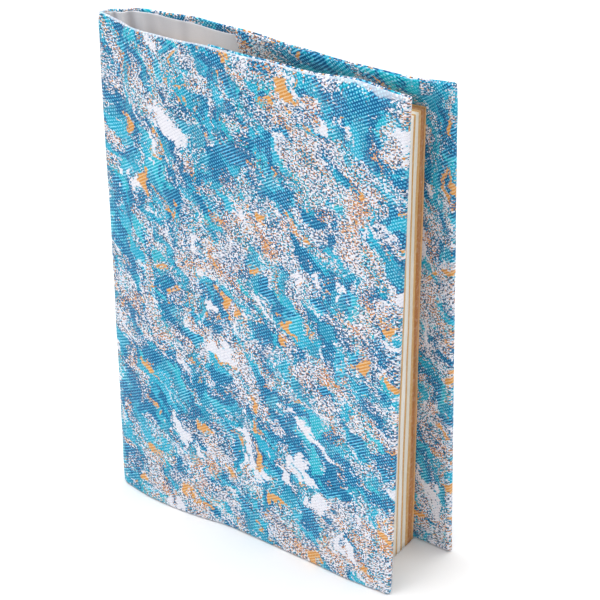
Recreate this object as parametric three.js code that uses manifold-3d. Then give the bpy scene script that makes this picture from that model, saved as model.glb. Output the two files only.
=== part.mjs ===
// Cloth cover for a paperback book, standing on its tail edge with the book's pages in it.
// One strip of brocade is folded round the book: front flap, front panel, spine, back panel, back flap.
// A plain lining covers its inner side between the two flaps. Millimetres, +Z up.
// X runs along the panels, spine at -X and fore-edge at +X. The front panel faces -Y.
import * as THREE from "three";
import { mergeVertices } from "three/addons/utils/BufferGeometryUtils.js";
import Module from "manifold-3d";

// ---------- driving dimensions ----------
const COVER_HEIGHT = 186; // head to tail of the cloth at the spine
const HEAD_DROP = 4.5; // how far the back panel's head has sunk at its fore-edge
const CLOTH = 1.1; // brocade with its backing
const POCKET = 0.5; // gap between a panel and its flap
const FLAP = 1.0; // turned-in flap
const PANEL_FULL = CLOTH + POCKET + FLAP; // panel with its flap, 2.6
const LINING = 0.6; // lining cloth
const FLAP_LENGTH_FRONT = 68; // fore-edge fold to the flap's free edge
const FLAP_LENGTH_BACK = 73;
const HEM = 3.5; // flap sewn to the panel along head and tail
const FORE_HEM = 3; // solid fold at the fore-edge
const PAGE_HEIGHT = 173;
const GAP = 0.35; // clearance between separate pieces
const LEVEL_OF_HEAD = 170; // above this the cloth stands free of the pages

// ---------- plan of the cloth's outer face ----------
// Each row is one station along the strip, from the front fore-edge round the spine to the back
// fore-edge: x and y at the tail, at the level of the pages' head, and at the cover's own head.
const FRONT = [
  [115.1, 0.0, 113.5, 5.8, 113.3, 6.3],
  [108.0, -0.4, 105.6, 5.3, 105.4, 5.9],
  [99.8, -0.8, 96.8, 4.9, 96.4, 5.4],
  [87.1, -0.4, 82.9, 4.3, 82.5, 4.7],
  [74.1, 0.0, 68.9, 3.7, 68.4, 4.0],
  [60.0, 0.2, 54.6, 2.8, 54.1, 3.0],
  [47.0, 0.3, 42.0, 2.1, 41.6, 2.2],
  [34.4, -1.4, 30.9, 1.0, 30.5, 1.2],
  [22.0, -2.1, 21.3, 0.3, 21.2, 0.5],
  [11.7, -1.6, 12.1, 0.5, 12.2, 0.7],
  [5.1, -0.4, 6.0, 2.0, 6.0, 2.2],
  [1.6, 0.3, 1.6, 3.1, 1.6, 3.3],
];
const SPINE = [
  [0.9, 0.5, 0.6, 3.2, 0.6, 3.4],
  [-0.1, 0.9, -0.9, 3.4, -1.0, 3.6],
  [-0.8, 1.8, -2.1, 4.2, -2.2, 4.4],
  [-1.5, 4.4, -2.4, 6.0, -2.4, 6.1],
  [-1.2, 8.6, -1.2, 8.6, -1.2, 8.6],
  [0.4, 12.8, 0.6, 10.8, 0.6, 10.6],
  [2.6, 16.4, 2.2, 12.8, 2.2, 12.2],
  [5.6, 19.6, 4.8, 15.2, 4.7, 14.3],
  [9.4, 22.2, 7.6, 17.1, 7.4, 16.1],
  [12.6, 23.6, 11.2, 18.8, 11.0, 17.6],
];
// The lining's outer face inside the spine, clear of the fold.
const SPINE_LINING = [
  [1.3, 3.4, 1.0, 6.0, 1.0, 6.3],
  [0.5, 5.4, -0.1, 7.2, -0.1, 7.4],
  [0.6, 8.5, 0.7, 8.9, 0.7, 8.9],
  [2.0, 12.0, 2.2, 9.9, 2.2, 9.8],
  [4.0, 15.3, 3.6, 11.7, 3.6, 11.2],
  [6.8, 18.2, 5.9, 13.8, 5.8, 13.0],
  [10.1, 20.5, 8.4, 15.5, 8.2, 14.6],
  [12.8, 21.7, 11.3, 16.8, 11.1, 15.8],
];
const BACK = [
  [13.8, 24.1, 12.5, 19.2, 12.3, 18.0],
  [18.2, 25.6, 15.8, 19.9, 15.5, 18.6],
  [24.5, 27.2, 21.2, 20.8, 20.7, 19.6],
  [31.0, 28.2, 26.9, 21.6, 26.4, 20.3],
  [39.5, 29.2, 35.2, 22.4, 34.4, 20.2],
  [48.0, 30.2, 43.6, 23.2, 42.2, 20.2],
  [57.0, 31.2, 53.0, 24.2, 51.4, 20.6],
  [67.0, 32.0, 62.6, 25.4, 60.6, 20.9],
  [77.5, 32.8, 73.4, 27.0, 71.2, 21.8],
  [88.0, 33.4, 85.0, 28.8, 80.1, 23.3],
  [98.0, 33.8, 96.6, 30.8, 90.6, 25.0],
  [106.0, 34.0, 105.2, 31.9, 102.4, 27.2],
  [113.5, 34.0, 110.6, 31.9, 109.6, 29.6],
  [120.8, 33.9, 115.6, 31.9, 115.0, 31.2],
];

// ---------- plan of the pages ----------
// A soft book: its leaves are together at the spine and fan out towards the fore-edge.
const PAGES = [
  [105.1, 9.4, 106.4, 9.4],
  [80.0, 8.4, 81.0, 8.4],
  [60.0, 7.2, 60.6, 7.2],
  [46.0, 6.3, 46.4, 6.3],
  [30.0, 4.6, 30.0, 4.6],
  [16.0, 4.2, 16.0, 4.2],
  [9.5, 5.0, 9.5, 5.0],
  [7.2, 7.4, 7.2, 7.4],
  [7.4, 10.6, 7.4, 10.6],
  [10.0, 13.4, 10.0, 13.4],
  [18.0, 16.4, 18.0, 16.4],
  [30.0, 18.2, 30.0, 18.2],
  [46.0, 20.8, 46.4, 20.2],
  [60.0, 23.2, 60.6, 21.8],
  [75.0, 25.7, 76.0, 23.7],
  [90.0, 28.3, 91.2, 25.9],
  [105.1, 30.9, 106.4, 28.4],
];

// ---------- the cloth's shape ----------
// Head of the cloth at a place along X: level at the spine, sunk at the back's fore-edge.
function headAt(x, isBack) {
  if (!isBack) return COVER_HEIGHT;
  const t = THREE.MathUtils.clamp((x - 30) / 75, 0, 1);
  return COVER_HEIGHT - HEAD_DROP * t * t * (3 - 2 * t);
}

// Point of a row at height fraction v: straight from the tail to the level of the pages' head, and on to
// the head in a soft curve.
function rowPoint(row, v, isBack) {
  const head = headAt(row[4], isBack);
  const z = v * head;
  if (z <= LEVEL_OF_HEAD) {
    const t = z / LEVEL_OF_HEAD;
    return new THREE.Vector3(
      row[0] + (row[2] - row[0]) * t,
      row[1] + (row[3] - row[1]) * t,
      z,
    );
  }
  const t = (z - LEVEL_OF_HEAD) / (head - LEVEL_OF_HEAD);
  const e = t * t * (2 - t);
  return new THREE.Vector3(
    row[2] + (row[4] - row[2]) * e,
    row[3] + (row[5] - row[3]) * e,
    z,
  );
}

const LEVELS = [0, 0.02, 0.25, 0.5, 0.75, 0.915, 0.955, 0.985, 1];

// Grid of the outer face over some rows, with its inward normals in plan.
function faceGrid(rows, isBack) {
  return rows.map((row, i) =>
    LEVELS.map((v) => {
      const p = rowPoint(row, v, isBack);
      const a = rowPoint(rows[Math.max(0, i - 1)], v, isBack);
      const b = rowPoint(rows[Math.min(rows.length - 1, i + 1)], v, isBack);
      const n = new THREE.Vector3(b.y - a.y, -(b.x - a.x), 0).normalize();
      return { p, n: n.negate() };
    }),
  );
}

// Closed shell between depth `from` and depth `to(i)` under the outer face.
// The rows run from the front fore-edge clockwise, so the inner side is on the right of the path.
function shell(grid, from, to) {
  const rows = grid.length,
    cols = grid[0].length;
  const positions = [];
  const at = (i, j, d) => {
    const g = grid[i][j];
    return [g.p.x - g.n.x * d, g.p.y - g.n.y * d, g.p.z];
  };
  const index = (side, i, j) => side * rows * cols + i * cols + j;
  for (const side of [0, 1])
    for (let i = 0; i < rows; i++)
      for (let j = 0; j < cols; j++)
        positions.push(...at(i, j, side ? to(i) : from));
  const tris = [];
  const quad = (a, b, c, d) => tris.push(a, b, c, a, c, d);
  for (let i = 0; i < rows - 1; i++)
    for (let j = 0; j < cols - 1; j++) {
      quad(index(0, i, j), index(0, i, j + 1), index(0, i + 1, j + 1), index(0, i + 1, j));
      quad(index(1, i, j), index(1, i + 1, j), index(1, i + 1, j + 1), index(1, i, j + 1));
    }
  for (let i = 0; i < rows - 1; i++) {
    quad(index(0, i, 0), index(0, i + 1, 0), index(1, i + 1, 0), index(1, i, 0));
    const t = cols - 1;
    quad(index(0, i, t), index(1, i, t), index(1, i + 1, t), index(0, i + 1, t));
  }
  for (let j = 0; j < cols - 1; j++) {
    quad(index(0, 0, j), index(1, 0, j), index(1, 0, j + 1), index(0, 0, j + 1));
    const r = rows - 1;
    quad(index(0, r, j), index(0, r, j + 1), index(1, r, j + 1), index(1, r, j));
  }
  const g = new THREE.BufferGeometry();
  g.setAttribute("position", new THREE.BufferAttribute(new Float32Array(positions), 3));
  g.setIndex(tris);
  return g;
}

// ---------- solids ----------
const wasm = await Module();
wasm.setup();

function toSolid(geometry) {
  const g = geometry.clone();
  g.deleteAttribute("normal");
  g.deleteAttribute("uv");
  const m = mergeVertices(g, 1e-4);
  let s = new wasm.Manifold(
    new wasm.Mesh({
      numProp: 3,
      vertProperties: new Float32Array(m.attributes.position.array),
      triVerts: new Uint32Array(m.index.array),
    }),
  );
  if (s.volume() < 0) {
    const t = new Uint32Array(m.index.array);
    for (let i = 0; i < t.length; i += 3) [t[i + 1], t[i + 2]] = [t[i + 2], t[i + 1]];
    s = new wasm.Manifold(
      new wasm.Mesh({
        numProp: 3,
        vertProperties: new Float32Array(m.attributes.position.array),
        triVerts: t,
      }),
    );
  }
  return s;
}

function toGeometry(solid) {
  const m = solid.getMesh();
  const p = new Float32Array(m.numVert * 3);
  for (let i = 0; i < m.numVert; i++)
    p.set(m.vertProperties.subarray(i * m.numProp, i * m.numProp + 3), i * 3);
  const g = new THREE.BufferGeometry();
  g.setAttribute("position", new THREE.BufferAttribute(p, 3));
  g.setIndex(new THREE.BufferAttribute(new Uint32Array(m.triVerts), 1));
  g.computeVertexNormals();
  return g;
}

// Distance along the strip from row a to row b, at the tail.
function runLength(rows, a, b) {
  let sum = 0;
  for (let i = Math.min(a, b); i < Math.max(a, b); i++)
    sum += Math.hypot(rows[i + 1][0] - rows[i][0], rows[i + 1][1] - rows[i][1]);
  return sum;
}

// Rows with one more station at a given distance from the fore-edge end.
function withStation(rows, foreIndex, distance) {
  const order = foreIndex === 0 ? rows.slice() : rows.slice().reverse();
  const out = [order[0]];
  let run = 0,
    placed = -1;
  for (let i = 1; i < order.length; i++) {
    const step = Math.hypot(order[i][0] - order[i - 1][0], order[i][1] - order[i - 1][1]);
    if (placed < 0 && run + step > distance) {
      const t = (distance - run) / step;
      out.push(order[i - 1].map((c, k) => c + (order[i][k] - c) * t));
      placed = out.length - 1;
    }
    out.push(order[i]);
    run += step;
  }
  return foreIndex === 0
    ? { rows: out, at: placed }
    : { rows: out.reverse(), at: out.length - 1 - placed };
}

// A panel with its flap: full depth over the flap, bare cloth and lining's seat from there to the spine,
// and the pocket that takes the book's own cover cut between panel and flap, open towards the spine.
function panel(rows, isBack, flapLength) {
  const fore = isBack ? rows.length - 1 : 0;
  const s1 = withStation(rows, fore, flapLength);
  const s2 = withStation(s1.rows, isBack ? s1.rows.length - 1 : 0, flapLength + 0.4);
  const all = s2.rows;
  const edge = isBack ? s2.at + 1 : s2.at - 1;
  const isFlap = (i) => (isBack ? i >= edge : i <= edge);
  const grid = faceGrid(all, isBack);
  let solid = toSolid(shell(grid, 0, (i) => (isFlap(i) ? PANEL_FULL : CLOTH)));
  // pocket
  const inner = withStation(all, isBack ? all.length - 1 : 0, FORE_HEM);
  const pocketRows = isBack
    ? inner.rows.slice(edge - 1, inner.at + 1)
    : inner.rows.slice(inner.at, edge + 3);
  const pocketGrid = faceGrid(pocketRows, isBack).map((col) =>
    col.map((g) => ({ p: g.p.clone(), n: g.n })),
  );
  for (const col of pocketGrid) {
    const top = col[col.length - 1].p.z;
    for (const g of col) g.p.z = THREE.MathUtils.clamp(g.p.z, HEM, top - HEM);
    col[1].p.z = HEM + 4; // keeps the levels apart
    col[col.length - 2].p.z = top - HEM - 1.5;
    col[col.length - 3].p.z = top - HEM - 4;
  }
  const cutter = toSolid(shell(pocketGrid, CLOTH, () => CLOTH + POCKET));
  solid = solid.subtract(cutter);
  return toGeometry(solid);
}

function pages() {
  const n = PAGES.length;
  const levels = [0, 0.5, 1];
  const p = [];
  for (const t of levels)
    for (const r of PAGES)
      p.push(r[0] + (r[2] - r[0]) * t, r[1] + (r[3] - r[1]) * t, t * PAGE_HEIGHT);
  const tris = [];
  for (let l = 0; l < levels.length - 1; l++)
    for (let i = 0; i < n; i++) {
      const a = l * n + i,
        b = l * n + ((i + 1) % n);
      tris.push(a, a + n, b, b, a + n, b + n);
    }
  const outline = PAGES.map((r) => new THREE.Vector2(r[0], r[1]));
  const caps = THREE.ShapeUtils.triangulateShape(outline, []);
  const top = (levels.length - 1) * n;
  for (const [a, b, c] of caps) {
    const [A, B, C] = [outline[a], outline[b], outline[c]];
    const turn = (B.x - A.x) * (C.y - A.y) - (B.y - A.y) * (C.x - A.x);
    const [q, r] = turn < 0 ? [b, c] : [c, b]; // the outline runs clockwise from above
    tris.push(a, q, r);
    tris.push(top + a, top + r, top + q);
  }
  const g = new THREE.BufferGeometry();
  g.setAttribute("position", new THREE.BufferAttribute(new Float32Array(p), 3));
  g.setIndex(tris);
  return toGeometry(toSolid(g));
}

function strip(rows, isBack, from, to) {
  return toGeometry(toSolid(shell(faceGrid(rows, isBack), from, () => to)));
}

// Rows of the lining on a panel, from the spine's end to the flap's free edge.
function liningRows(rows, isBack, flapLength) {
  const fore = isBack ? rows.length - 1 : 0;
  const s = withStation(rows, fore, flapLength + 0.4 + GAP + 0.3);
  return isBack ? s.rows.slice(0, s.at + 1) : s.rows.slice(s.at);
}

// ---------- materials ----------
const brocade = () =>
  new THREE.MeshStandardMaterial({ color: 0x4f9fc4, roughness: 0.62, metalness: 0 });
const liningCloth = () =>
  new THREE.MeshStandardMaterial({ color: 0xc9c6ca, roughness: 0.85, metalness: 0 });
const paper = () =>
  new THREE.MeshStandardMaterial({ color: 0xdcc9a6, roughness: 0.9, metalness: 0 });

// ---------- assembly ----------
const cover = new THREE.Group();
const add = (name, geometry, material) => {
  const m = new THREE.Mesh(geometry, material);
  m.name = name;
  cover.add(m);
};

add("front_cover", panel(FRONT, false, FLAP_LENGTH_FRONT), brocade());
add("back_cover", panel(BACK, true, FLAP_LENGTH_BACK), brocade());
add("spine", strip(SPINE, false, 0, CLOTH), brocade());
add("spine_lining", strip(SPINE_LINING, false, 0, LINING), liningCloth());
add(
  "front_lining",
  strip(liningRows(FRONT, false, FLAP_LENGTH_FRONT), false, CLOTH + GAP, CLOTH + GAP + LINING),
  liningCloth(),
);
add(
  "back_lining",
  strip(liningRows(BACK, true, FLAP_LENGTH_BACK), true, CLOTH + GAP, CLOTH + GAP + LINING),
  liningCloth(),
);
add("page_block", pages(), paper());

// The origin is the middle of the footprint, on the surface that the cover stands on.
const box = new THREE.Box3().setFromObject(cover);
const object = new THREE.Group();
cover.position.set(-(box.min.x + box.max.x) / 2, -(box.min.y + box.max.y) / 2, -box.min.z);
object.add(cover);

export default object;
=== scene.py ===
import math

import bpy
import bmesh
import numpy as np
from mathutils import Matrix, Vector


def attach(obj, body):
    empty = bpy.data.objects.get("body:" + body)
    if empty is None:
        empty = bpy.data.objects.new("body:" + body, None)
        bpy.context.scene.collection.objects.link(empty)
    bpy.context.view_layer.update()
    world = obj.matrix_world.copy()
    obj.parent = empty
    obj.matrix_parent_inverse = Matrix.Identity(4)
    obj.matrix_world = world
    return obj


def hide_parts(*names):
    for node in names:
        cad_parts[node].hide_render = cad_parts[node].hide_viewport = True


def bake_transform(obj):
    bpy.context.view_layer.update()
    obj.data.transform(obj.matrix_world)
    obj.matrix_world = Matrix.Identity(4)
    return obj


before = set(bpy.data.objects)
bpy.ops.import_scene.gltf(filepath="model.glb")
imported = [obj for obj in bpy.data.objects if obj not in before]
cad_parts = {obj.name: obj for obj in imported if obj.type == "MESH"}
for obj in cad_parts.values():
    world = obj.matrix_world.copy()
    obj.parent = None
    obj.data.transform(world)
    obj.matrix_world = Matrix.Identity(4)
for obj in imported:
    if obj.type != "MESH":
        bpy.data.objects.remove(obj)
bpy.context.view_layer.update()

# ---------------------------------------------------------------- the cloth's plan, in mm
# Same stations as the construction: x and y at the tail, at the level of the pages' head, at the head.
SHIFT = (-59.2, -15.95)
COVER_HEIGHT = 186.0
HEAD_DROP = 3.5
LEVEL_OF_HEAD = 170.0
CLOTH = 1.1
HALF = CLOTH / 2
FLAP_FRONT = 68.0
FLAP_BACK = 73.0
FRONT = [
    [115.1, 0.0, 113.5, 5.8, 113.3, 6.3],
    [108.0, -0.4, 105.6, 5.3, 105.4, 5.9],
    [99.8, -0.8, 96.8, 4.9, 96.4, 5.4],
    [87.1, -0.4, 82.9, 4.3, 82.5, 4.7],
    [74.1, 0.0, 68.9, 3.7, 68.4, 4.0],
    [60.0, 0.2, 54.6, 2.8, 54.1, 3.0],
    [47.0, 0.3, 42.0, 2.1, 41.6, 2.2],
    [34.4, -1.4, 30.9, 1.0, 30.5, 1.2],
    [22.0, -2.1, 21.3, 0.3, 21.2, 0.5],
    [11.7, -1.6, 12.1, 0.5, 12.2, 0.7],
    [5.1, -0.4, 6.0, 2.0, 6.0, 2.2],
]
SPINE = [
    [1.0, 0.5, 0.2, 3.2, 0.2, 3.4],
    [-0.8, 1.8, -3.0, 4.2, -3.1, 4.4],
    [-1.6, 4.4, -3.5, 6.0, -3.5, 6.1],
    [-1.2, 8.6, -2.3, 8.6, -2.3, 8.6],
    [0.4, 12.8, -0.2, 10.8, -0.2, 10.6],
    [2.6, 16.4, 2.2, 12.8, 2.2, 12.2],
    [5.6, 19.6, 4.8, 15.2, 4.7, 14.3],
    [9.4, 22.2, 7.6, 17.1, 7.4, 16.1],
    [13.2, 23.9, 11.8, 19.0, 11.6, 17.8],
]
BACK = [
    [18.2, 25.6, 15.8, 19.9, 15.5, 18.6],
    [24.5, 27.2, 21.2, 20.8, 20.7, 19.6],
    [31.0, 28.2, 26.9, 21.6, 26.4, 20.3],
    [39.5, 29.2, 35.2, 22.4, 34.4, 20.2],
    [48.0, 30.2, 43.6, 23.2, 42.2, 20.2],
    [57.0, 31.2, 53.0, 24.2, 51.4, 20.6],
    [67.0, 32.0, 62.6, 25.4, 60.6, 20.9],
    [77.5, 32.8, 73.4, 27.0, 71.2, 21.8],
    [88.0, 33.4, 85.0, 28.8, 80.1, 23.3],
    [98.0, 33.8, 96.6, 30.8, 90.6, 25.0],
    [106.0, 34.0, 105.2, 31.9, 102.4, 27.2],
    [113.5, 34.0, 110.6, 31.9, 109.6, 29.6],
    [121.0, 33.9, 116.2, 31.9, 115.6, 31.2],
]
ROWS = np.array(FRONT + SPINE + BACK, float)
STATION = np.concatenate(
    [[0], np.cumsum(np.hypot(np.diff(ROWS[:, 0]), np.diff(ROWS[:, 1])))]
)
C_MID = STATION[len(FRONT) + 3]  # middle of the spine
C_BACK = STATION[len(FRONT) + len(SPINE) - 1]
C_END = STATION[-1]


def _tangents():
    h = np.diff(STATION)[:, None]
    d = np.diff(ROWS, axis=0) / h
    m = np.empty_like(ROWS)
    m[1:-1] = (d[:-1] * h[1:] + d[1:] * h[:-1]) / (h[1:] + h[:-1])
    m[0], m[-1] = d[0], d[-1]
    return m


TANGENT = _tangents()


def row_at(c):
    """Smooth station values at distances c along the strip, from the front fore-edge."""
    c = np.asarray(c, float)
    i = np.clip(np.searchsorted(STATION, c) - 1, 0, len(STATION) - 2)
    h = STATION[i + 1] - STATION[i]
    t = (c - STATION[i]) / h
    tc = np.clip(t, 0, 1)
    t2, t3 = tc * tc, tc * tc * tc
    a = 2 * t3 - 3 * t2 + 1
    b = t3 - 2 * t2 + tc
    e = -2 * t3 + 3 * t2
    f = t3 - t2
    out = (
        a[..., None] * ROWS[i]
        + (b * h)[..., None] * TANGENT[i]
        + e[..., None] * ROWS[i + 1]
        + (f * h)[..., None] * TANGENT[i + 1]
    )
    over = ((t - tc) * h)[..., None]
    return out + over * np.where((t > 1)[..., None], TANGENT[i + 1], TANGENT[i])


def head_at(c):
    r = row_at(c)
    t = np.clip((r[..., 4] - 50) / 56, 0, 1)
    drop = HEAD_DROP * t * t * (3 - 2 * t)
    wave = 0.22 * np.sin(c / 9.0 + 0.6) + 0.14 * np.sin(c / 3.7 + 2.0)
    return COVER_HEIGHT - np.where(c > C_BACK, drop, 0) + 0.15 + wave


def plan(c, z):
    """Plan point of the outer face at distance c along the strip and height z."""
    r = row_at(c)
    head = head_at(c)
    t = np.clip(z / LEVEL_OF_HEAD, 0, 1)
    x = r[..., 0] + (r[..., 2] - r[..., 0]) * t
    y = r[..., 1] + (r[..., 3] - r[..., 1]) * t
    u = np.clip((z - LEVEL_OF_HEAD) / (head - LEVEL_OF_HEAD), 0, 1)
    e = u * u * (2 - u)
    return np.stack(
        [x + (r[..., 4] - r[..., 2]) * e, y + (r[..., 5] - r[..., 3]) * e], -1
    )


def plan_frame(c, z):
    """Point, unit direction along the strip and unit inward normal."""
    p = plan(c, z)
    d = plan(c + 0.35, z) - plan(c - 0.35, z)
    d /= np.linalg.norm(d, axis=-1, keepdims=True)
    return p, d, np.stack([d[..., 1], -d[..., 0]], -1)


def to_row(xy, z):
    return np.stack(
        [(xy[..., 0] + SHIFT[0]) / 1000, (xy[..., 1] + SHIFT[1]) / 1000, z / 1000], -1
    )


def smooth(a, b, x):
    t = np.clip((x - a) / (b - a), 0, 1)
    return t * t * (3 - 2 * t)


def bump(x, centre, width):
    return np.exp(-(((x - centre) / width) ** 2))


def ripple(c, z, seed):
    """Soft unevenness of cloth, in mm."""
    return (
        0.16 * np.sin(c / 11.0 + z / 47.0 + seed)
        + 0.11 * np.sin(c / 5.3 - z / 23.0 + 2 * seed)
        + 0.09 * np.sin(z / 13.0 + c / 31.0 + 3 * seed)
        + 0.05 * np.sin(z / 5.1 - c / 7.7 + seed)
    )


# ---------------------------------------------------------------- mesh helpers
def make_object(name, verts, faces, mat, attrs=None, smooth_shade=True):
    mesh = bpy.data.meshes.new(name)
    mesh.from_pydata([tuple(v) for v in verts], [], [tuple(f) for f in faces])
    mesh.update()
    if attrs:
        for key, values in attrs.items():
            values = np.asarray(values, np.float32)
            if values.ndim == 2:
                a = mesh.attributes.new(key, "FLOAT_VECTOR", "POINT")
                a.data.foreach_set("vector", values.ravel())
            else:
                a = mesh.attributes.new(key, "FLOAT", "POINT")
                a.data.foreach_set("value", values)
    bm = bmesh.new()
    bm.from_mesh(mesh)
    bmesh.ops.remove_doubles(bm, verts=bm.verts, dist=2e-6)
    bmesh.ops.dissolve_degenerate(bm, edges=bm.edges, dist=1e-7)
    bmesh.ops.recalc_face_normals(bm, faces=bm.faces)
    bm.to_mesh(mesh)
    bm.free()
    for p in mesh.polygons:
        p.use_smooth = smooth_shade
    ob = bpy.data.objects.new(name, mesh)
    bpy.context.collection.objects.link(ob)
    mesh.materials.append(mat)
    return ob


def levels(step_mid, edge, r):
    """Height parameters (from_tail, from_head, thickness factor): rounded rims at tail and head."""
    out = []
    n = 4
    for k in range(n):
        a = -math.pi / 2 + (math.pi / 2) * k / n
        out.append(("t", r + r * math.sin(a), math.cos(a)))
    d = r
    while d < edge:
        out.append(("t", d, 1.0))
        d += 0.8
    m = int(round((COVER_HEIGHT - 2 * edge) / step_mid))
    for k in range(m + 1):
        out.append(("f", k / m, 1.0))
    heads = []
    d = r
    while d < edge:
        heads.append(("h", d, 1.0))
        d += 0.8
    for h in reversed(heads):
        out.append(h)
    for k in range(n - 1, -1, -1):
        a = -math.pi / 2 + (math.pi / 2) * k / n
        out.append(("h", r + r * math.sin(a), math.cos(a)))
    return out


def level_heights(lv, head, edge, tail=0.0):
    z, f = [], []
    for kind, a, k in lv:
        if kind == "t":
            z.append(np.full_like(head, tail + a))
        elif kind == "h":
            z.append(head - a)
        else:
            z.append(tail + edge + (head - tail - 2 * edge) * a)
        f.append(np.full_like(head, k))
    return np.stack(z, -1), np.stack(f, -1)


def folded_strip(name, mat, side, flap_length, seed):
    """One half of the brocade strip: from the middle of the spine over the panel, round the fore-edge and
    back as the flap to its free edge. side is -1 for the front and +1 for the back."""
    step = 1.45
    r_turn = 0.80
    d_out, d_flap = HALF, HALF + 2 * r_turn
    fore = 0.0 if side < 0 else C_END
    span = abs(C_MID - fore)
    s = []  # (distance from the fore-edge, depth, normal along strip to fore-edge, normal inward, length)
    start = r_turn + HALF
    n = int(round((span - start) / step))
    for k in range(n + 1):
        q = span - (span - start) * k / n
        s.append((q, d_out, 0.0, -1.0))
    turns = 10
    for k in range(1, turns):
        a = -math.pi / 2 + math.pi * k / turns
        s.append(
            (
                start - r_turn * math.cos(a),
                d_out + r_turn + r_turn * math.sin(a),
                math.cos(a),
                math.sin(a),
            )
        )
    m = int(round((flap_length - start) / step))
    for k in range(m + 1):
        s.append((start + (flap_length - start) * k / m, d_flap, 0.0, 1.0))
    thick = [1.0] * len(s)
    for k in range(1, 6):
        a = math.pi / 2 * k / 5
        s.append((flap_length + HALF * math.sin(a), d_flap, 0.0, 1.0))
        thick.append(math.cos(a))
    s = np.array(s)
    thick = np.array(thick)
    length = np.concatenate(
        [[0], np.cumsum(np.hypot(np.diff(s[:, 0]), np.diff(s[:, 1])))]
    )
    q, d, nt, ni = s[:, 0], s[:, 1], s[:, 2], s[:, 3]
    c = q if side < 0 else C_END - q
    is_flap = smooth(d_out, d_flap, d)
    edge = 5.0
    lv = levels(1.5, edge, HALF)
    head = head_at(c) - 0.0
    Z, F = level_heights(lv, head, edge)
    ci = np.repeat(c[:, None], Z.shape[1], 1)
    qi = np.repeat(q[:, None], Z.shape[1], 1)
    to_head = head[:, None] - Z
    # depth of the middle of the cloth under the panel's outer face
    D = np.repeat(d[:, None], Z.shape[1], 1)
    fl = np.repeat(is_flap[:, None], Z.shape[1], 1)
    rim = np.exp(-((np.minimum(to_head, Z) / 2.2) ** 1.5))
    D = D - fl * rim * 0.42  # layers meet in the seam
    above = smooth(174.5, 179.0, Z) * (1 - np.exp(-((to_head / 1.6) ** 2)))
    if side > 0:
        D += fl * above * 0.95 * smooth(2, 16, qi)
    else:
        D += fl * above * 0.55 * smooth(2, 14, qi)
    # the head rolls inwards
    roll = np.exp(-((to_head / 2.1) ** 1.6))
    if side < 0:
        D += roll * (0.45 + 2.1 * bump(qi, 17.0, 9.5))
        D += 0.5 * np.exp(-((to_head / 7.0) ** 2)) * bump(qi, 17.0, 12.0)
    else:
        D += roll * 0.35
    # the turned seam allowance makes a faint band along head and tail
    band = 1 - smooth(6.6, 8.2, np.minimum(to_head, Z))
    D -= (1 - fl) * (band - 1) * 0.10
    D += ripple(ci, Z, seed) * (1 - 0.55 * fl) * smooth(0, 12, Z)
    # free edge of the flap stands off the lining a little
    free = np.clip((qi - (flap_length - 9)) / 9, 0, 1)
    D += fl * free**2 * 0.35 * smooth(3, 25, np.minimum(to_head, Z))
    P, T, N = plan_frame(ci, Z)
    tf = -T if side < 0 else T  # towards the fore-edge
    base = P + N * D[..., None]
    # depth and fore-edge direction of the turn
    nrm = tf * nt[:, None, None] + N * ni[:, None, None]
    # in the turn the station already carries the fore-edge offset
    h = HALF * F * thick[:, None]
    outer = base + nrm * h[..., None]
    inner = base - nrm * h[..., None]
    U = -side * length
    cloth_u = np.repeat(U[:, None], Z.shape[1], 1)
    ni_, nj = Z.shape
    vo = to_row(outer, Z)
    vi = to_row(inner, Z)
    verts = np.concatenate([vo.reshape(-1, 3), vi.reshape(-1, 3)])
    face_side = np.concatenate([np.ones(ni_ * nj), np.zeros(ni_ * nj)])
    cl = np.stack(
        [np.tile(cloth_u.ravel(), 2), np.tile(Z.ravel(), 2), face_side], -1
    )
    faces = []
    idx = lambda b, i, j: b * ni_ * nj + i * nj + j
    for i in range(ni_ - 1):
        for j in range(nj - 1):
            faces.append((idx(0, i, j), idx(0, i + 1, j), idx(0, i + 1, j + 1), idx(0, i, j + 1)))
            faces.append((idx(1, i, j), idx(1, i, j + 1), idx(1, i + 1, j + 1), idx(1, i + 1, j)))
    for j in range(nj - 1):
        faces.append((idx(0, 0, j), idx(0, 0, j + 1), idx(1, 0, j + 1), idx(1, 0, j)))
    # painted highlight along the rounded fold at the head, wider at the front's upper corner
    wide = 0.42 + (1.3 * (1 - smooth(8, 30, qi)) if side < 0 else 0.0)
    rim_highlight = to_head / wide + 0.25 * np.sin(ci / 2.3 + seed) + 0.18 * np.sin(ci / 0.9)
    rim_highlight = rim_highlight + (9 * fl if side < 0 else 9)
    ob = make_object(
        name, verts, faces, mat, {"cloth": cl, "rim_highlight": np.tile(rim_highlight.ravel(), 2)}
    )
    return ob


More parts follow.
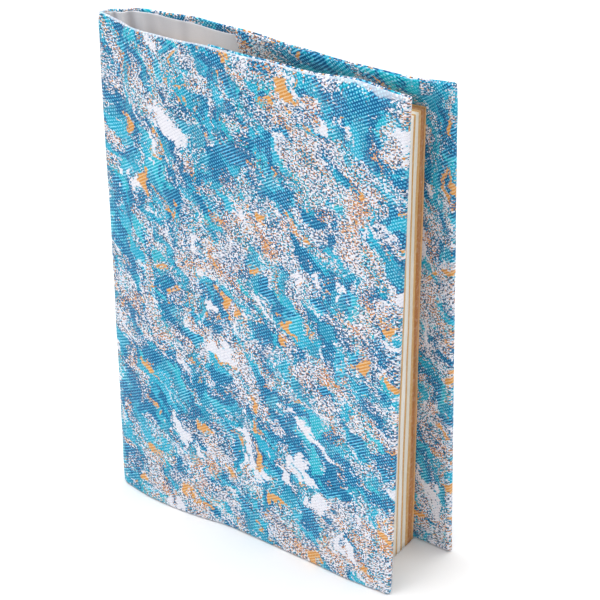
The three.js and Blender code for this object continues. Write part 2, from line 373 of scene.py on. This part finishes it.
def lining_half(name, mat, side, flap_length):
    """Half of the lining, from the middle of the spine to under the flap's free edge."""
    fore = 0.0 if side < 0 else C_END
    span = abs(C_MID - fore)
    start = flap_length - 6.0
    n = int(round((span - start) / 0.7))
    q = span - (span - start) * np.arange(n + 1) / n
    c = q if side < 0 else C_END - q
    r = 0.25
    edge = 4.0
    lv = levels(1.3, edge, r)
    # the brocade is turned over the head and seen as a rim that widens away from the spine
    from_fold = np.abs(c - C_MID)
    rim = 0.55 + (1.9 * smooth(10, 46, from_fold) if side > 0 else 0.6 * smooth(5, 40, from_fold))
    head = head_at(c) - rim
    Z, F = level_heights(lv, head, edge, tail=1.0)
    ci = np.repeat(c[:, None], Z.shape[1], 1)
    qi = np.repeat(q[:, None], Z.shape[1], 1)
    to_head = head[:, None] - Z
    P, T, N = plan_frame(ci, Z)
    D = np.full_like(Z, CLOTH + 0.12 + r)
    D += smooth(flap_length + 1.5, flap_length - 1.0, qi) * -0.12
    # inner side of a bend is shorter: soft vertical folds in the spine
    a = np.abs(ci - C_MID)
    sl = (COVER_HEIGHT - Z)
    pinned = smooth(0.0, 7.0, to_head) * smooth(0.0, 7.0, Z)
    if side > 0:
        f1 = bump(a, 3.4 + sl * 0.010, 1.2) * 1.6
        f2 = bump(a, 10.6 + sl * 0.055, 1.8) * 2.0
        f3 = bump(a, 19.5 + sl * 0.02, 2.6) * 0.45
        f4 = bump(a, 34.0 + sl * 0.015, 3.4) * 0.40
        puff = 1.5 * bump(a, 7.0 + sl * 0.03, 2.0) + 0.9 * bump(a, 15.5 + sl * 0.04, 2.8)
        # painted shade: the lining's colour is darkened along the valleys of the folds
        crease_shade = np.clip(0.55 * f1 + 0.42 * f2 + 0.8 * bump(a, 19.5 + sl * 0.02, 1.6) * 0.4 + 0.35 * bump(a, 34.0 + sl * 0.015, 2.2), 0, 1)
        D += (0.45 + 0.55 * pinned) * (puff - 0.35 * (f1 + f2) + 0.45 * f3 + 0.40 * f4 + 0.45) * smooth(flap_length, flap_length + 6, qi)
    else:
        puff = 0.8 * bump(a, 5.6, 1.8) + 0.35 * bump(a, 17.0, 4.0)
        # painted shade along the fold valleys on the front half
        crease_shade = np.clip(0.5 * bump(a, 2.4, 1.3) + 0.4 * bump(a, 9.5, 1.8), 0, 1)
        D += (0.25 + 0.75 * pinned) * puff
    D += 0.10 * np.sin(Z / 9.0 + ci / 4.0) * pinned
    D = np.maximum(D, CLOTH + r + 0.05)
    h = r * F
    outer = P + N * (D - h)[..., None]
    inner = P + N * (D + h)[..., None]
    ni_, nj = Z.shape
    verts = np.concatenate([to_row(outer, Z).reshape(-1, 3), to_row(inner, Z).reshape(-1, 3)])
    U = -side * np.abs(c - C_MID)
    cl = np.stack(
        [np.tile(np.repeat(U[:, None], nj, 1).ravel(), 2), np.tile(Z.ravel(), 2), np.zeros(2 * ni_ * nj)],
        -1,
    )
    faces = []
    idx = lambda b, i, j: b * ni_ * nj + i * nj + j
    for i in range(ni_ - 1):
        for j in range(nj - 1):
            faces.append((idx(0, i, j), idx(0, i + 1, j), idx(0, i + 1, j + 1), idx(0, i, j + 1)))
            faces.append((idx(1, i, j), idx(1, i, j + 1), idx(1, i + 1, j + 1), idx(1, i + 1, j)))
    for i in (0, ni_ - 1):
        for j in range(nj - 1):
            f = (idx(0, i, j), idx(0, i, j + 1), idx(1, i, j + 1), idx(1, i, j))
            faces.append(f if i == 0 else f[::-1])
    crease_shade = np.tile(crease_shade.ravel(), 2)
    return make_object(name, verts, faces, mat, {"cloth": cl, "crease_shade": crease_shade})


# ---------------------------------------------------------------- pages
PAGE_HEIGHT = 173.0
LEAF_FRONT = np.array(
    [
        [7.6, 8.2, 7.6, 8.2],
        [9.5, 5.0, 9.5, 5.0],
        [16.0, 4.2, 16.0, 4.2],
        [30.0, 4.6, 30.0, 4.6],
        [46.0, 6.3, 46.4, 6.3],
        [60.0, 7.2, 60.6, 7.2],
        [76.0, 8.2, 77.0, 8.2],
        [91.0, 8.9, 92.0, 8.9],
        [105.2, 9.4, 106.4, 9.4],
    ]
)
LEAF_BACK = np.array(
    [
        [7.6, 10.2, 7.6, 10.2],
        [10.0, 13.4, 10.0, 13.4],
        [18.0, 16.4, 18.0, 16.4],
        [30.0, 18.2, 30.0, 18.2],
        [46.0, 20.8, 46.4, 20.2],
        [60.0, 23.2, 60.6, 21.8],
        [75.0, 25.7, 76.0, 23.7],
        [90.0, 28.3, 91.2, 25.9],
        [106.3, 30.9, 106.5, 28.4],
    ]
)
# gatherings from the back: share of the thickness and tone; the tones are painted light and shade on one cream
# paper, the lightest tone for lit page bundles and the darker ochre tones for shaded ones
GATHERINGS = [
    (0.043, "edge"),
    (0.127, "shaded_brown"),
    (0.065, "shaded_tan"),
    (0.100, "cream"),
    (0.055, "shaded_tan"),
    (0.095, "lit_pale"),
    (0.045, "shaded_tan"),
    (0.110, "cream"),
    (0.050, "shaded_tan"),
    (0.090, "lit_pale"),
    (0.050, "shaded_tan"),
    (0.120, "cream"),
    (0.040, "shaded_tan"),
    (0.010, "lit_pale"),
]


def resample(rows, n):
    d = np.concatenate(
        [[0], np.cumsum(np.hypot(np.diff(rows[:, 0]), np.diff(rows[:, 1])))]
    )
    d /= d[-1]
    t = np.linspace(0, 1, n)
    out = np.empty((n, rows.shape[1]))
    m = np.empty_like(rows)
    h = np.diff(d)[:, None]
    s = np.diff(rows, axis=0) / h
    m[1:-1] = (s[:-1] * h[1:] + s[1:] * h[:-1]) / (h[1:] + h[:-1])
    m[0], m[-1] = s[0], s[-1]
    i = np.clip(np.searchsorted(d, t) - 1, 0, len(d) - 2)
    u = ((t - d[i]) / (d[i + 1] - d[i]))[:, None]
    hh = (d[i + 1] - d[i])[:, None]
    return (
        (2 * u**3 - 3 * u**2 + 1) * rows[i]
        + (u**3 - 2 * u**2 + u) * hh * m[i]
        + (-2 * u**3 + 3 * u**2) * rows[i + 1]
        + (u**3 - u**2) * hh * m[i + 1]
    )


def page_mesh(name, mat):
    rng = np.random.default_rng(11)
    nk, nz = 44, 64
    F, B = resample(LEAF_FRONT, nk), resample(LEAF_BACK, nk)
    # leaf parameter, 0 at the front and 1 at the back, with each gathering's two rounded shoulders
    bounds = [1.0]
    for share, _ in GATHERINGS:
        bounds.append(bounds[-1] - share)
    bounds[-1] = 0.0
    bounds = bounds[::-1]
    ts, groove, lift = [], [], []
    for a, b in zip(bounds[:-1], bounds[1:]):
        w = b - a
        if w < 0.02:
            ts.append(a)
            groove.append(0.2)
            lift.append(0.0)
            continue
        off = rng.uniform(-0.10, 0.10)
        sub = [0.0, 0.035, 0.09] + list(np.linspace(0.18, 0.82, 7)) + [0.91, 0.965]
        for u in sub:
            ts.append(a + w * u)
            e = min(u, 1 - u)
            groove.append(0.30 * math.exp(-e / 0.035))
            lift.append(off * (1 - math.exp(-e / 0.05)) + rng.uniform(-0.03, 0.03))
    ts.append(1.0)
    groove.append(0.25)
    lift.append(0.0)
    ts, groove, lift = np.array(ts), np.array(groove), np.array(lift)
    nt = len(ts)

    def leaf(k, t, zf):
        f, b = F[k], B[k]
        fx = f[..., 0] + (f[..., 2] - f[..., 0]) * zf
        fy = f[..., 1] + (f[..., 3] - f[..., 1]) * zf
        bx = b[..., 0] + (b[..., 2] - b[..., 0]) * zf
        by = b[..., 1] + (b[..., 3] - b[..., 1]) * zf
        return np.stack([fx + (bx - fx) * t, fy + (by - fy) * t], -1)

    verts, faces, leafs = [], [], []

    def grid(pts, t):
        base = len(verts)
        r, c = pts.shape[:2]
        verts.extend(pts.reshape(-1, 3).tolist())
        leafs.extend(np.broadcast_to(t, (r, c)).ravel().tolist())
        for i in range(r - 1):
            for j in range(c - 1):
                a = base + i * c + j
                faces.append((a, a + 1, a + c + 1, a + c))

    kk = np.arange(nk)
    zs = np.linspace(0, 1, nz)
    inset = groove - lift

    def point(k, ti, zf, z):
        p = leaf(k, ts[ti], zf)
        f = (np.asarray(k) == nk - 1).astype(float)
        wav = 0.10 * np.sin(z / 17.0 + ts[ti] * 9.0) + 0.05 * np.sin(z / 6.1 + ts[ti] * 21.0)
        p = p.copy()
        p[..., 0] = p[..., 0] - (inset[ti] + wav) * f
        return p

    # head and tail
    for zf, sgn in ((0.0, 1), (1.0, -1)):
        K, TI = np.meshgrid(kk, np.arange(nt), indexing="ij")
        z = zf * PAGE_HEIGHT
        p = point(K, TI, zf, z)
        depth = (inset[TI] + 0.12) * (0.8 if zf else 0.15)
        zz = z - depth * (1 if zf else 0) + (0 if zf else 0.0)
        grid(to_row(p, zz if zf else np.zeros_like(zz)), ts[TI])
    # fore-edge
    ZI, TI = np.meshgrid(zs, np.arange(nt), indexing="ij")
    K = np.full_like(TI, nk - 1)
    z = ZI * PAGE_HEIGHT
    p = point(K, TI, ZI, z)
    depth = (inset[TI] + 0.12) * 0.8 * (ZI >= 1.0)
    grid(to_row(p, z - depth), ts[TI])
    # spine edge of the pages
    K = np.zeros_like(TI)
    p = point(K, TI, ZI, z)
    grid(to_row(p, z - depth), ts[TI])
    # first and last leaf
    for ti in (0, nt - 1):
        ZI2, K2 = np.meshgrid(zs, kk, indexing="ij")
        T2 = np.full_like(K2, ti)
        z2 = ZI2 * PAGE_HEIGHT
        p = point(K2, T2, ZI2, z2)
        d2 = (inset[T2] + 0.12) * 0.8 * (ZI2 >= 1.0)
        grid(to_row(p, z2 - d2), ts[T2])
    return make_object(name, np.array(verts), faces, mat, {"leaf": np.array(leafs)}, True), bounds


# ---------------------------------------------------------------- materials
def srgb(h):
    c = [int(h[i : i + 2], 16) / 255 for i in (0, 2, 4)]
    return [((x + 0.055) / 1.055) ** 2.4 if x > 0.04045 else x / 12.92 for x in c] + [1.0]


class Nodes:
    def __init__(self, name):
        self.mat = bpy.data.materials.new(name)
        self.mat.use_nodes = True
        self.t = self.mat.node_tree
        self.t.nodes.clear()

    def new(self, kind, **props):
        n = self.t.nodes.new(kind)
        for k, v in props.items():
            setattr(n, k, v)
        return n

    def link(self, a, b):
        self.t.links.new(a, b)

    def put(self, socket, value):
        if hasattr(value, "is_linked") or isinstance(value, bpy.types.NodeSocket):
            self.link(value, socket)
        elif value is not None:
            socket.default_value = value

    def math(self, op, a, b=None, c=None, clamp=False):
        n = self.new("ShaderNodeMath", operation=op, use_clamp=clamp)
        self.put(n.inputs[0], a)
        if b is not None:
            self.put(n.inputs[1], b)
        if c is not None:
            self.put(n.inputs[2], c)
        return n.outputs[0]

    def vmath(self, op, a, b=None):
        n = self.new("ShaderNodeVectorMath", operation=op)
        self.put(n.inputs[0], a)
        if b is not None:
            self.put(n.inputs[1], b)
        return n.outputs[0]

    def mapping(self, v, scale=(1, 1, 1), rot=(0, 0, 0), loc=(0, 0, 0)):
        n = self.new("ShaderNodeMapping")
        self.link(v, n.inputs["Vector"])
        n.inputs["Scale"].default_value = scale
        n.inputs["Rotation"].default_value = rot
        n.inputs["Location"].default_value = loc
        return n.outputs[0]

    def noise(self, v, scale, detail=2.0, rough=0.5, dist=0.0, lac=2.0):
        n = self.new("ShaderNodeTexNoise")
        self.link(v, n.inputs["Vector"])
        n.inputs["Scale"].default_value = scale
        n.inputs["Detail"].default_value = detail
        n.inputs["Roughness"].default_value = rough
        n.inputs["Distortion"].default_value = dist
        n.inputs["Lacunarity"].default_value = lac
        return n

    def mix(self, fac, a, b, mode="MIX"):
        n = self.new("ShaderNodeMix", data_type="RGBA", blend_type=mode)
        self.put(n.inputs[0], fac)
        self.put(n.inputs[6], a)
        self.put(n.inputs[7], b)
        return n.outputs[2]

    def step(self, x, lo, hi):
        n = self.new("ShaderNodeMapRange", interpolation_type="SMOOTHSTEP")
        self.put(n.inputs["Value"], x)
        n.inputs["From Min"].default_value = lo
        n.inputs["From Max"].default_value = hi
        return n.outputs[0]

    def ramp(self, x, stops, interpolation="LINEAR"):
        n = self.new("ShaderNodeValToRGB")
        cr = n.color_ramp
        cr.interpolation = interpolation
        while len(cr.elements) < len(stops):
            cr.elements.new(0.5)
        for e, (pos, col) in zip(cr.elements, stops):
            e.position = pos
            e.color = col
        self.put(n.inputs[0], x)
        return n.outputs[0]

    def bump(self, height, strength, distance, normal=None):
        n = self.new("ShaderNodeBump")
        n.inputs["Strength"].default_value = strength
        n.inputs["Distance"].default_value = distance
        self.link(height, n.inputs["Height"])
        if normal is not None:
            self.link(normal, n.inputs["Normal"])
        return n.outputs[0]

    def finish(self, color, rough, normal=None, **sockets):
        b = self.new("ShaderNodeBsdfPrincipled")
        self.put(b.inputs["Base Color"], color)
        self.put(b.inputs["Roughness"], rough)
        if normal is not None:
            self.link(normal, b.inputs["Normal"])
        for k, v in sockets.items():
            b.inputs[k.replace("_", " ")].default_value = v
        o = self.new("ShaderNodeOutputMaterial")
        self.link(b.outputs[0], o.inputs[0])
        return self.mat


def brocade_material():
    m = Nodes("brocade")
    at = m.new("ShaderNodeAttribute", attribute_name="cloth")
    P = at.outputs["Vector"]  # U, V in mm, and 1 on the cloth's face
    # threads: everything in the figure is resolved to weaving points
    cell = m.vmath("SNAP", P, (0.42, 0.36, 1.0))
    # slow drift that bends the figure, and a quick one that tears its outlines
    w1 = m.noise(m.mapping(cell, (0.045, 0.045, 1)), 1.0, 2, 0.5)
    w2 = m.noise(m.mapping(cell, (0.16, 0.16, 1), loc=(7, 3, 0)), 1.0, 3, 0.6)
    half = (0.5, 0.5, 0.5)
    d1 = m.vmath("MULTIPLY", m.vmath("SUBTRACT", w1.outputs["Color"], half), (20, 20, 0))
    d2 = m.vmath("MULTIPLY", m.vmath("SUBTRACT", w2.outputs["Color"], half), (6.5, 6.5, 0))
    # long axis of the blotches runs down towards the fore-edge
    W = m.mapping(m.vmath("ADD", m.vmath("ADD", cell, d1), d2), rot=(0, 0, math.radians(54)))

    def field(scale, loc, detail=5, rough=0.58, stretch=0.45):
        v = m.mapping(W, (scale * stretch, scale, 1), loc=loc)
        return m.noise(v, 1.0, detail, rough).outputs["Fac"]

    wide = m.math("SUBTRACT", field(0.045, (63.0, 2.0, 8.0), 2, 0.5, 0.6), 0.5)
    main = m.math("MULTIPLY_ADD", wide, 0.55, field(0.165, (3.1, 9.2, 0), 7, 0.68, 0.50))
    ground = field(0.16, (31.0, 4.0, 2.0), 6, 0.64, 0.40)
    deep = field(0.13, (11.0, 44.0, 5.0), 6, 0.62, 0.5)
    warm = m.math("MULTIPLY_ADD", wide, 0.30, field(0.12, (51.0, 14.0, 9.0), 6, 0.64, 0.55))
    busy = field(0.15, (5.0, 71.0, 3.0), 6, 0.70, 0.55)
    weft = field(0.10, (77.0, 21.0, 6.0), 3, 0.5, 0.7)

    # fine grains, a little longer across
    def grains(loc, turn, scale=1.38):
        v = m.mapping(cell, (scale, scale * 1.25, 1), rot=(0, 0, turn), loc=loc)
        return m.noise(v, 1.0, 1.0, 0.5).outputs["Fac"]

    g1, g2, g3 = grains((1, 1, 0), 0.45), grains((21, 5, 7), -0.55), grains((9, 33, 2), 0.1, 1.5)
    rnd = m.new("ShaderNodeTexWhiteNoise", noise_dimensions="2D")
    m.link(cell, rnd.inputs["Vector"])
    r1 = rnd.outputs["Value"]
    rc = m.math("SUBTRACT", r1, 0.5)
    # 0 in clear fields, 1 in salt and pepper, which gathers round the white
    amp = m.step(m.math("MULTIPLY_ADD", main, 0.75, m.math("MULTIPLY", busy, 0.80)), 0.722, 0.805)
    grain = m.math("MULTIPLY_ADD", rc, 0.07, m.math("SUBTRACT", g1, 0.5))
    a = m.math("MULTIPLY_ADD", grain, m.math("MULTIPLY_ADD", amp, 0.92, 0.10), main)
    # torn shapes that stay clear of the speckle
    tear = m.step(field(0.072, (29.0, 83.0, 1.0), 8, 0.68, 0.46), 0.592, 0.595)
    patch = m.step(field(0.085, (90.0, 37.0, 5.0), 7, 0.64, 0.70), 0.610, 0.613)
    # tones of the blue ground
    azure = m.mix(m.step(ground, 0.492, 0.508), srgb("0088b0"), srgb("04a8cb"))
    azure = m.mix(m.step(weft, 0.57, 0.60), azure, srgb("08b2c8"))
    blue = m.mix(m.step(deep, 0.50, 0.512), azure, srgb("005f92"))
    # woven ribs: light floats over the blue, as lines in some fields and as dots in others
    sep = m.new("ShaderNodeSeparateXYZ")
    m.link(P, sep.inputs[0])
    U, V = sep.outputs[0], sep.outputs[1]
    jag = m.math("MULTIPLY", m.math("SUBTRACT", g3, 0.5), 0.55)
    along = m.math("MULTIPLY_ADD", U, -0.60, V)
    lines = m.math("FRACT", m.math("MULTIPLY_ADD", along, 1 / 1.24, jag))
    cross = m.math("FRACT", m.math("MULTIPLY_ADD", m.math("MULTIPLY_ADD", U, 1.30, V), 1 / 1.45, jag))
    off_line = m.math("ABSOLUTE", m.math("SUBTRACT", lines, 0.5))
    off_dot = m.math("ABSOLUTE", m.math("SUBTRACT", cross, 0.5))
    line_on = m.step(off_line, 0.23, 0.16)
    dot_on = m.math("MULTIPLY", m.step(off_line, 0.30, 0.20), m.step(off_dot, 0.30, 0.20))
    kind = field(0.11, (17, 61, 4), 4, 0.6, 0.7)
    plain = field(0.10, (7, 11, 14), 3, 0.5, 0.7)
    float_on = m.mix(m.step(kind, 0.54, 0.55), dot_on, line_on)
    float_on = m.math("MULTIPLY", float_on, m.math("MULTIPLY_ADD", m.step(plain, 0.56, 0.52), 0.40, 0.60))
    blue_rib = m.mix(float_on, blue, m.mix(0.92, blue, m.mix(m.step(deep, 0.50, 0.512), srgb("8ee6fa"), srgb("68cff6"))))
    # white fields
    w_tone = m.mix(r1, srgb("e8e8f2"), srgb("f7f6fb"))
    w_tone = m.mix(m.math("MULTIPLY", m.step(off_line, 0.34, 0.46), 0.30), w_tone, srgb("a9a9bd"))
    # figure
    is_white = m.math("MAXIMUM", m.step(a, 0.530, 0.533), tear)
    amp = m.math("SUBTRACT", amp, m.math("MAXIMUM", tear, patch), clamp=True)
    fig = m.mix(is_white, blue_rib, w_tone)
    # deep points between the light ones
    dark = m.math("MULTIPLY", amp, m.step(m.math("MULTIPLY_ADD", rc, 0.05, g2), 0.445, 0.435))
    fig = m.mix(m.math("MULTIPLY", dark, 0.9), fig, srgb("023c5c"))
    # lilac and grey points where the grounds mingle
    lilac = m.math("MULTIPLY", amp, m.step(m.math("MULTIPLY_ADD", rc, -0.06, g3), 0.60, 0.61))
    fig = m.mix(m.math("MULTIPLY", lilac, 0.8), fig, m.mix(m.step(r1, 0.45, 0.5), srgb("5b8fb4"), srgb("a89cb8")))
    # orange: clear patches and grains around them
    wg = m.math("MULTIPLY_ADD", rc, -0.05, m.math("SUBTRACT", g3, 0.5))
    b = m.math("MULTIPLY_ADD", wg, m.math("MULTIPLY_ADD", amp, 1.00, 0.03), warm)
    is_orange = m.math("MAXIMUM", m.math("MULTIPLY", m.step(b, 0.655, 0.658), m.math("SUBTRACT", 1.0, tear)), patch)
    oline = m.mix(m.math("MULTIPLY", line_on, 0.70), srgb("dd9643"), srgb("f4d2a0"))
    otone = m.mix(m.math("MULTIPLY", amp, m.step(r1, 0.10, 0.9)), oline, srgb("c08064"))
    fig = m.mix(is_orange, fig, otone)
    # painted highlight: the rounded fold along the head is painted lighter where light catches it
    wn = m.new("ShaderNodeAttribute", attribute_name="rim_highlight")
    rim_highlight_mix = m.step(m.math("MULTIPLY_ADD", rc, 0.5, wn.outputs["Fac"]), 1.02, 0.60)
    fig = m.mix(m.math("MULTIPLY", rim_highlight_mix, 0.60), fig, srgb("dfe3ec"))
    # thread relief: weft picks, warp ends and the twill
    pick = m.math("SINE", m.math("MULTIPLY", V, 2 * math.pi / 0.36))
    end = m.math("SINE", m.math("MULTIPLY", U, 2 * math.pi / 0.42))
    weave = m.math("MULTIPLY", pick, end)
    twill = m.math("SINE", m.math("MULTIPLY", along, 2 * math.pi / 1.24))
    h = m.math("ADD", m.math("MULTIPLY", weave, 0.30), m.math("MULTIPLY", twill, 0.40))
    h = m.math("ADD", h, m.math("MULTIPLY", m.math("SUBTRACT", g1, 0.5), m.math("MULTIPLY_ADD", amp, 3.0, 0.6)))
    h = m.math("ADD", h, m.math("MULTIPLY", is_white, 0.35))
    # threads shade each other
    shade = m.math("MULTIPLY_ADD", weave, 0.06, 0.97)
    sh = m.new("ShaderNodeCombineColor")
    for i in range(3):
        m.link(shade, sh.inputs[i])
    fig = m.mix(1.0, fig, sh.outputs[0], "MULTIPLY")
    rough = m.math("ADD", m.math("MULTIPLY", is_white, 0.10), m.math("MULTIPLY_ADD", r1, 0.12, 0.46))
    nrm = m.bump(h, 0.55, 0.00012)
    return m.finish(fig, rough, nrm, Sheen_Weight=0.03, Sheen_Roughness=0.4, Specular_IOR_Level=0.14)


def lining_material():
    m = Nodes("lining")
    at = m.new("ShaderNodeAttribute", attribute_name="cloth")
    P = at.outputs["Vector"]
    sep = m.new("ShaderNodeSeparateXYZ")
    m.link(P, sep.inputs[0])
    U, V = sep.outputs[0], sep.outputs[1]
    pick = m.math("SINE", m.math("MULTIPLY", V, 2 * math.pi / 0.34))
    end = m.math("SINE", m.math("MULTIPLY", U, 2 * math.pi / 0.34))
    weave = m.math("MULTIPLY", pick, end)
    slub = m.noise(m.mapping(P, (0.25, 3.2, 1)), 1.0, 3, 0.6).outputs["Fac"]
    slub2 = m.noise(m.mapping(P, (3.2, 0.25, 1), loc=(4, 9, 0)), 1.0, 3, 0.6).outputs["Fac"]
    cloud = m.noise(m.mapping(P, (0.06, 0.05, 1)), 1.0, 3, 0.5).outputs["Fac"]
    col = m.mix(m.step(cloud, 0.35, 0.65), srgb("d9dce3"), srgb("e4e6eb"))
    col = m.mix(m.math("MULTIPLY", m.step(slub, 0.55, 0.75), 0.35), col, srgb("d2d0d5"))
    col = m.mix(m.math("MULTIPLY", m.step(slub2, 0.55, 0.75), 0.30), col, srgb("e8e8ec"))
    col = m.mix(m.math("MULTIPLY", m.step(weave, 0.2, -0.8), 0.22), col, srgb("bebcc3"))
    # painted shade: the lining is darkened along the fold valleys
    cr = m.new("ShaderNodeAttribute", attribute_name="crease_shade")
    col = m.mix(m.math("MULTIPLY", cr.outputs["Fac"], 0.55), col, srgb("8b8a93"))
    h = m.math("ADD", m.math("MULTIPLY", weave, 0.5), m.math("MULTIPLY", m.math("ADD", slub, slub2), 0.9))
    nrm = m.bump(h, 0.5, 0.00008)
    return m.finish(col, 0.82, nrm, Sheen_Weight=0.35, Sheen_Roughness=0.5, Specular_IOR_Level=0.25)


def paper_material(bounds):
    m = Nodes("paper")
    at = m.new("ShaderNodeAttribute", attribute_name="leaf")
    t = at.outputs["Fac"]
    tc = m.new("ShaderNodeTexCoord")
    O = tc.outputs["Object"]
    # painted light and shade: one cream paper, painted lighter for lit page bundles and ochre for shaded ones
    tones = {
        "cream": srgb("e8e1d3"),
        "lit_pale": srgb("f0ece4"),
        "shaded_tan": srgb("d09e5c"),
        "shaded_brown": srgb("ae6a26"),
        "edge": srgb("d9a468"),
    }
    # boundaries waver a little with height
    wav = m.noise(m.mapping(O, (0, 0, 14)), 1.0, 2, 0.5).outputs["Fac"]
    tt = m.math("ADD", t, m.math("MULTIPLY", m.math("SUBTRACT", wav, 0.5), 0.016))
    stops = []
    pos = 0.0
    order = [k for _, k in GATHERINGS][::-1]
    for a, kind in zip(bounds[:-1], order):
        stops.append((a, tones[kind]))
    col = m.ramp(tt, stops, "CONSTANT")
    # single leaves
    comb = m.new("ShaderNodeCombineXYZ")
    m.link(m.math("MULTIPLY", t, 170.0), comb.inputs[0])
    sepo = m.new("ShaderNodeSeparateXYZ")
    m.link(O, sepo.inputs[0])
    m.link(m.math("MULTIPLY", sepo.outputs[2], 9.0), comb.inputs[1])
    m.link(m.math("MULTIPLY", sepo.outputs[0], 14.0), comb.inputs[2])
    leaves = m.noise(comb.outputs[0], 1.0, 3, 0.65).outputs["Fac"]
    edge = m.math("MULTIPLY", m.step(t, 0.002, 0.008), m.step(t, 0.998, 0.992))
    calm = m.math("MULTIPLY_ADD", edge, 0.88, 0.12)
    col = m.mix(m.math("MULTIPLY", m.math("MULTIPLY", m.step(leaves, 0.40, 0.66), calm), 0.42), col, m.mix(0.5, col, srgb("f4ead8")))
    col = m.mix(m.math("MULTIPLY", m.math("MULTIPLY", m.step(leaves, 0.48, 0.30), calm), 0.50), col, m.mix(0.55, col, srgb("7d5a36")))
    fibre = m.noise(O, 900.0, 3, 0.6).outputs["Fac"]
    col = m.mix(m.math("MULTIPLY", m.step(fibre, 0.45, 0.75), 0.18), col, srgb("fff8ea"))
    h = m.math("ADD", m.math("MULTIPLY", leaves, 1.0), m.math("MULTIPLY", fibre, 0.25))
    nrm = m.bump(h, 0.6, 0.00012)
    return m.finish(col, 0.86, nrm, Specular_IOR_Level=0.25)


# ---------------------------------------------------------------- build
brocade = brocade_material()
lining = lining_material()

front = folded_strip("front_brocade", brocade, -1, FLAP_FRONT, 0.7)
back = folded_strip("back_brocade", brocade, 1, FLAP_BACK, 2.1)
front_in = lining_half("front_lining_cloth", lining, -1, FLAP_FRONT)
back_in = lining_half("back_lining_cloth", lining, 1, FLAP_BACK)

page_bounds = [1.0]
for share, _ in GATHERINGS:
    page_bounds.append(page_bounds[-1] - share)
page_bounds[-1] = 0.0
page_bounds = page_bounds[::-1]
pages, _b = page_mesh("page_leaves", paper_material(page_bounds))


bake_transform(front)
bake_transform(front_in)
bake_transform(back)
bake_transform(back_in)
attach(pages, "book")
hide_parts("front_cover")
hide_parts("back_cover", "spine")
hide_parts("front_lining")
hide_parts("back_lining", "spine_lining")
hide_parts("page_block")

# ---------------------------------------------------------------- camera
CAM = (382.84, -457.99, 456.07)
AZ, EL, FOCAL_PX = 33.613, 32.39, 2014.3
cam_data = bpy.data.cameras.new("camera")
cam = bpy.data.objects.new("camera", cam_data)
bpy.context.collection.objects.link(cam)
cam_data.sensor_width = 36.0
cam_data.sensor_fit = "HORIZONTAL"
cam_data.lens = FOCAL_PX * 36.0 / 600.0
cam.location = ((CAM[0] + SHIFT[0]) / 1000, (CAM[1] + SHIFT[1]) / 1000, CAM[2] / 1000)
az, el = math.radians(AZ), math.radians(EL)
fwd = Vector((-math.sin(az) * math.cos(el), math.cos(az) * math.cos(el), -math.sin(el)))
cam.rotation_euler = fwd.to_track_quat("-Z", "Y").to_euler()
cam_data.clip_start = 0.01
cam_data.clip_end = 20
bpy.context.scene.camera = cam

# ---------------------------------------------------------------- floor and light
fm = Nodes("floor_white")
b = fm.new("ShaderNodeBsdfPrincipled")
b.inputs["Base Color"].default_value = (0.96, 0.96, 0.965, 1)
b.inputs["Roughness"].default_value = 0.9
b.inputs["Specular IOR Level"].default_value = 0.1
o = fm.new("ShaderNodeOutputMaterial")
fm.link(b.outputs[0], o.inputs[0])
floor_mesh = bpy.data.meshes.new("floor")
s = 3.0
floor_mesh.from_pydata([(-s, -s, 0), (s, -s, 0), (s, s, 0), (-s, s, 0)], [], [(0, 1, 2, 3)])
floor_mesh.materials.append(fm.mat)
floor = bpy.data.objects.new("floor", floor_mesh)
floor.location = (0, 0, -0.0004)
bpy.context.collection.objects.link(floor)

world = bpy.data.worlds.new("studio")
world.use_nodes = True
bg = world.node_tree.nodes["Background"]
bg.inputs[0].default_value = (1, 1, 1, 1)
bg.inputs[1].default_value = 0.48
bpy.context.scene.world = world


def area(name, loc, target, size, power, color=(1, 1, 1)):
    d = bpy.data.lights.new(name, "AREA")
    d.shape = "SQUARE"
    d.size = size
    d.energy = power
    d.color = color
    ob = bpy.data.objects.new(name, d)
    ob.location = loc
    ob.rotation_euler = (Vector(target) - Vector(loc)).to_track_quat("-Z", "Y").to_euler()
    bpy.context.collection.objects.link(ob)
    return ob


area("top_soft", (-0.25, -0.15, 1.1), (0, 0, 0.08), 0.9, 9.5)
area("front_soft", (-0.35, -1.1, 0.55), (0, 0, 0.09), 0.8, 2.0)
area("right_fill", (1.1, -0.5, 0.5), (0, 0, 0.09), 0.8, 2.4)
area("rear_soft", (0.45, 0.75, 1.2), (0.15, 0.2, 0.0), 1.0, 7.0)

view = bpy.context.scene.view_settings
view.view_transform = "Standard"
view.look = "None"
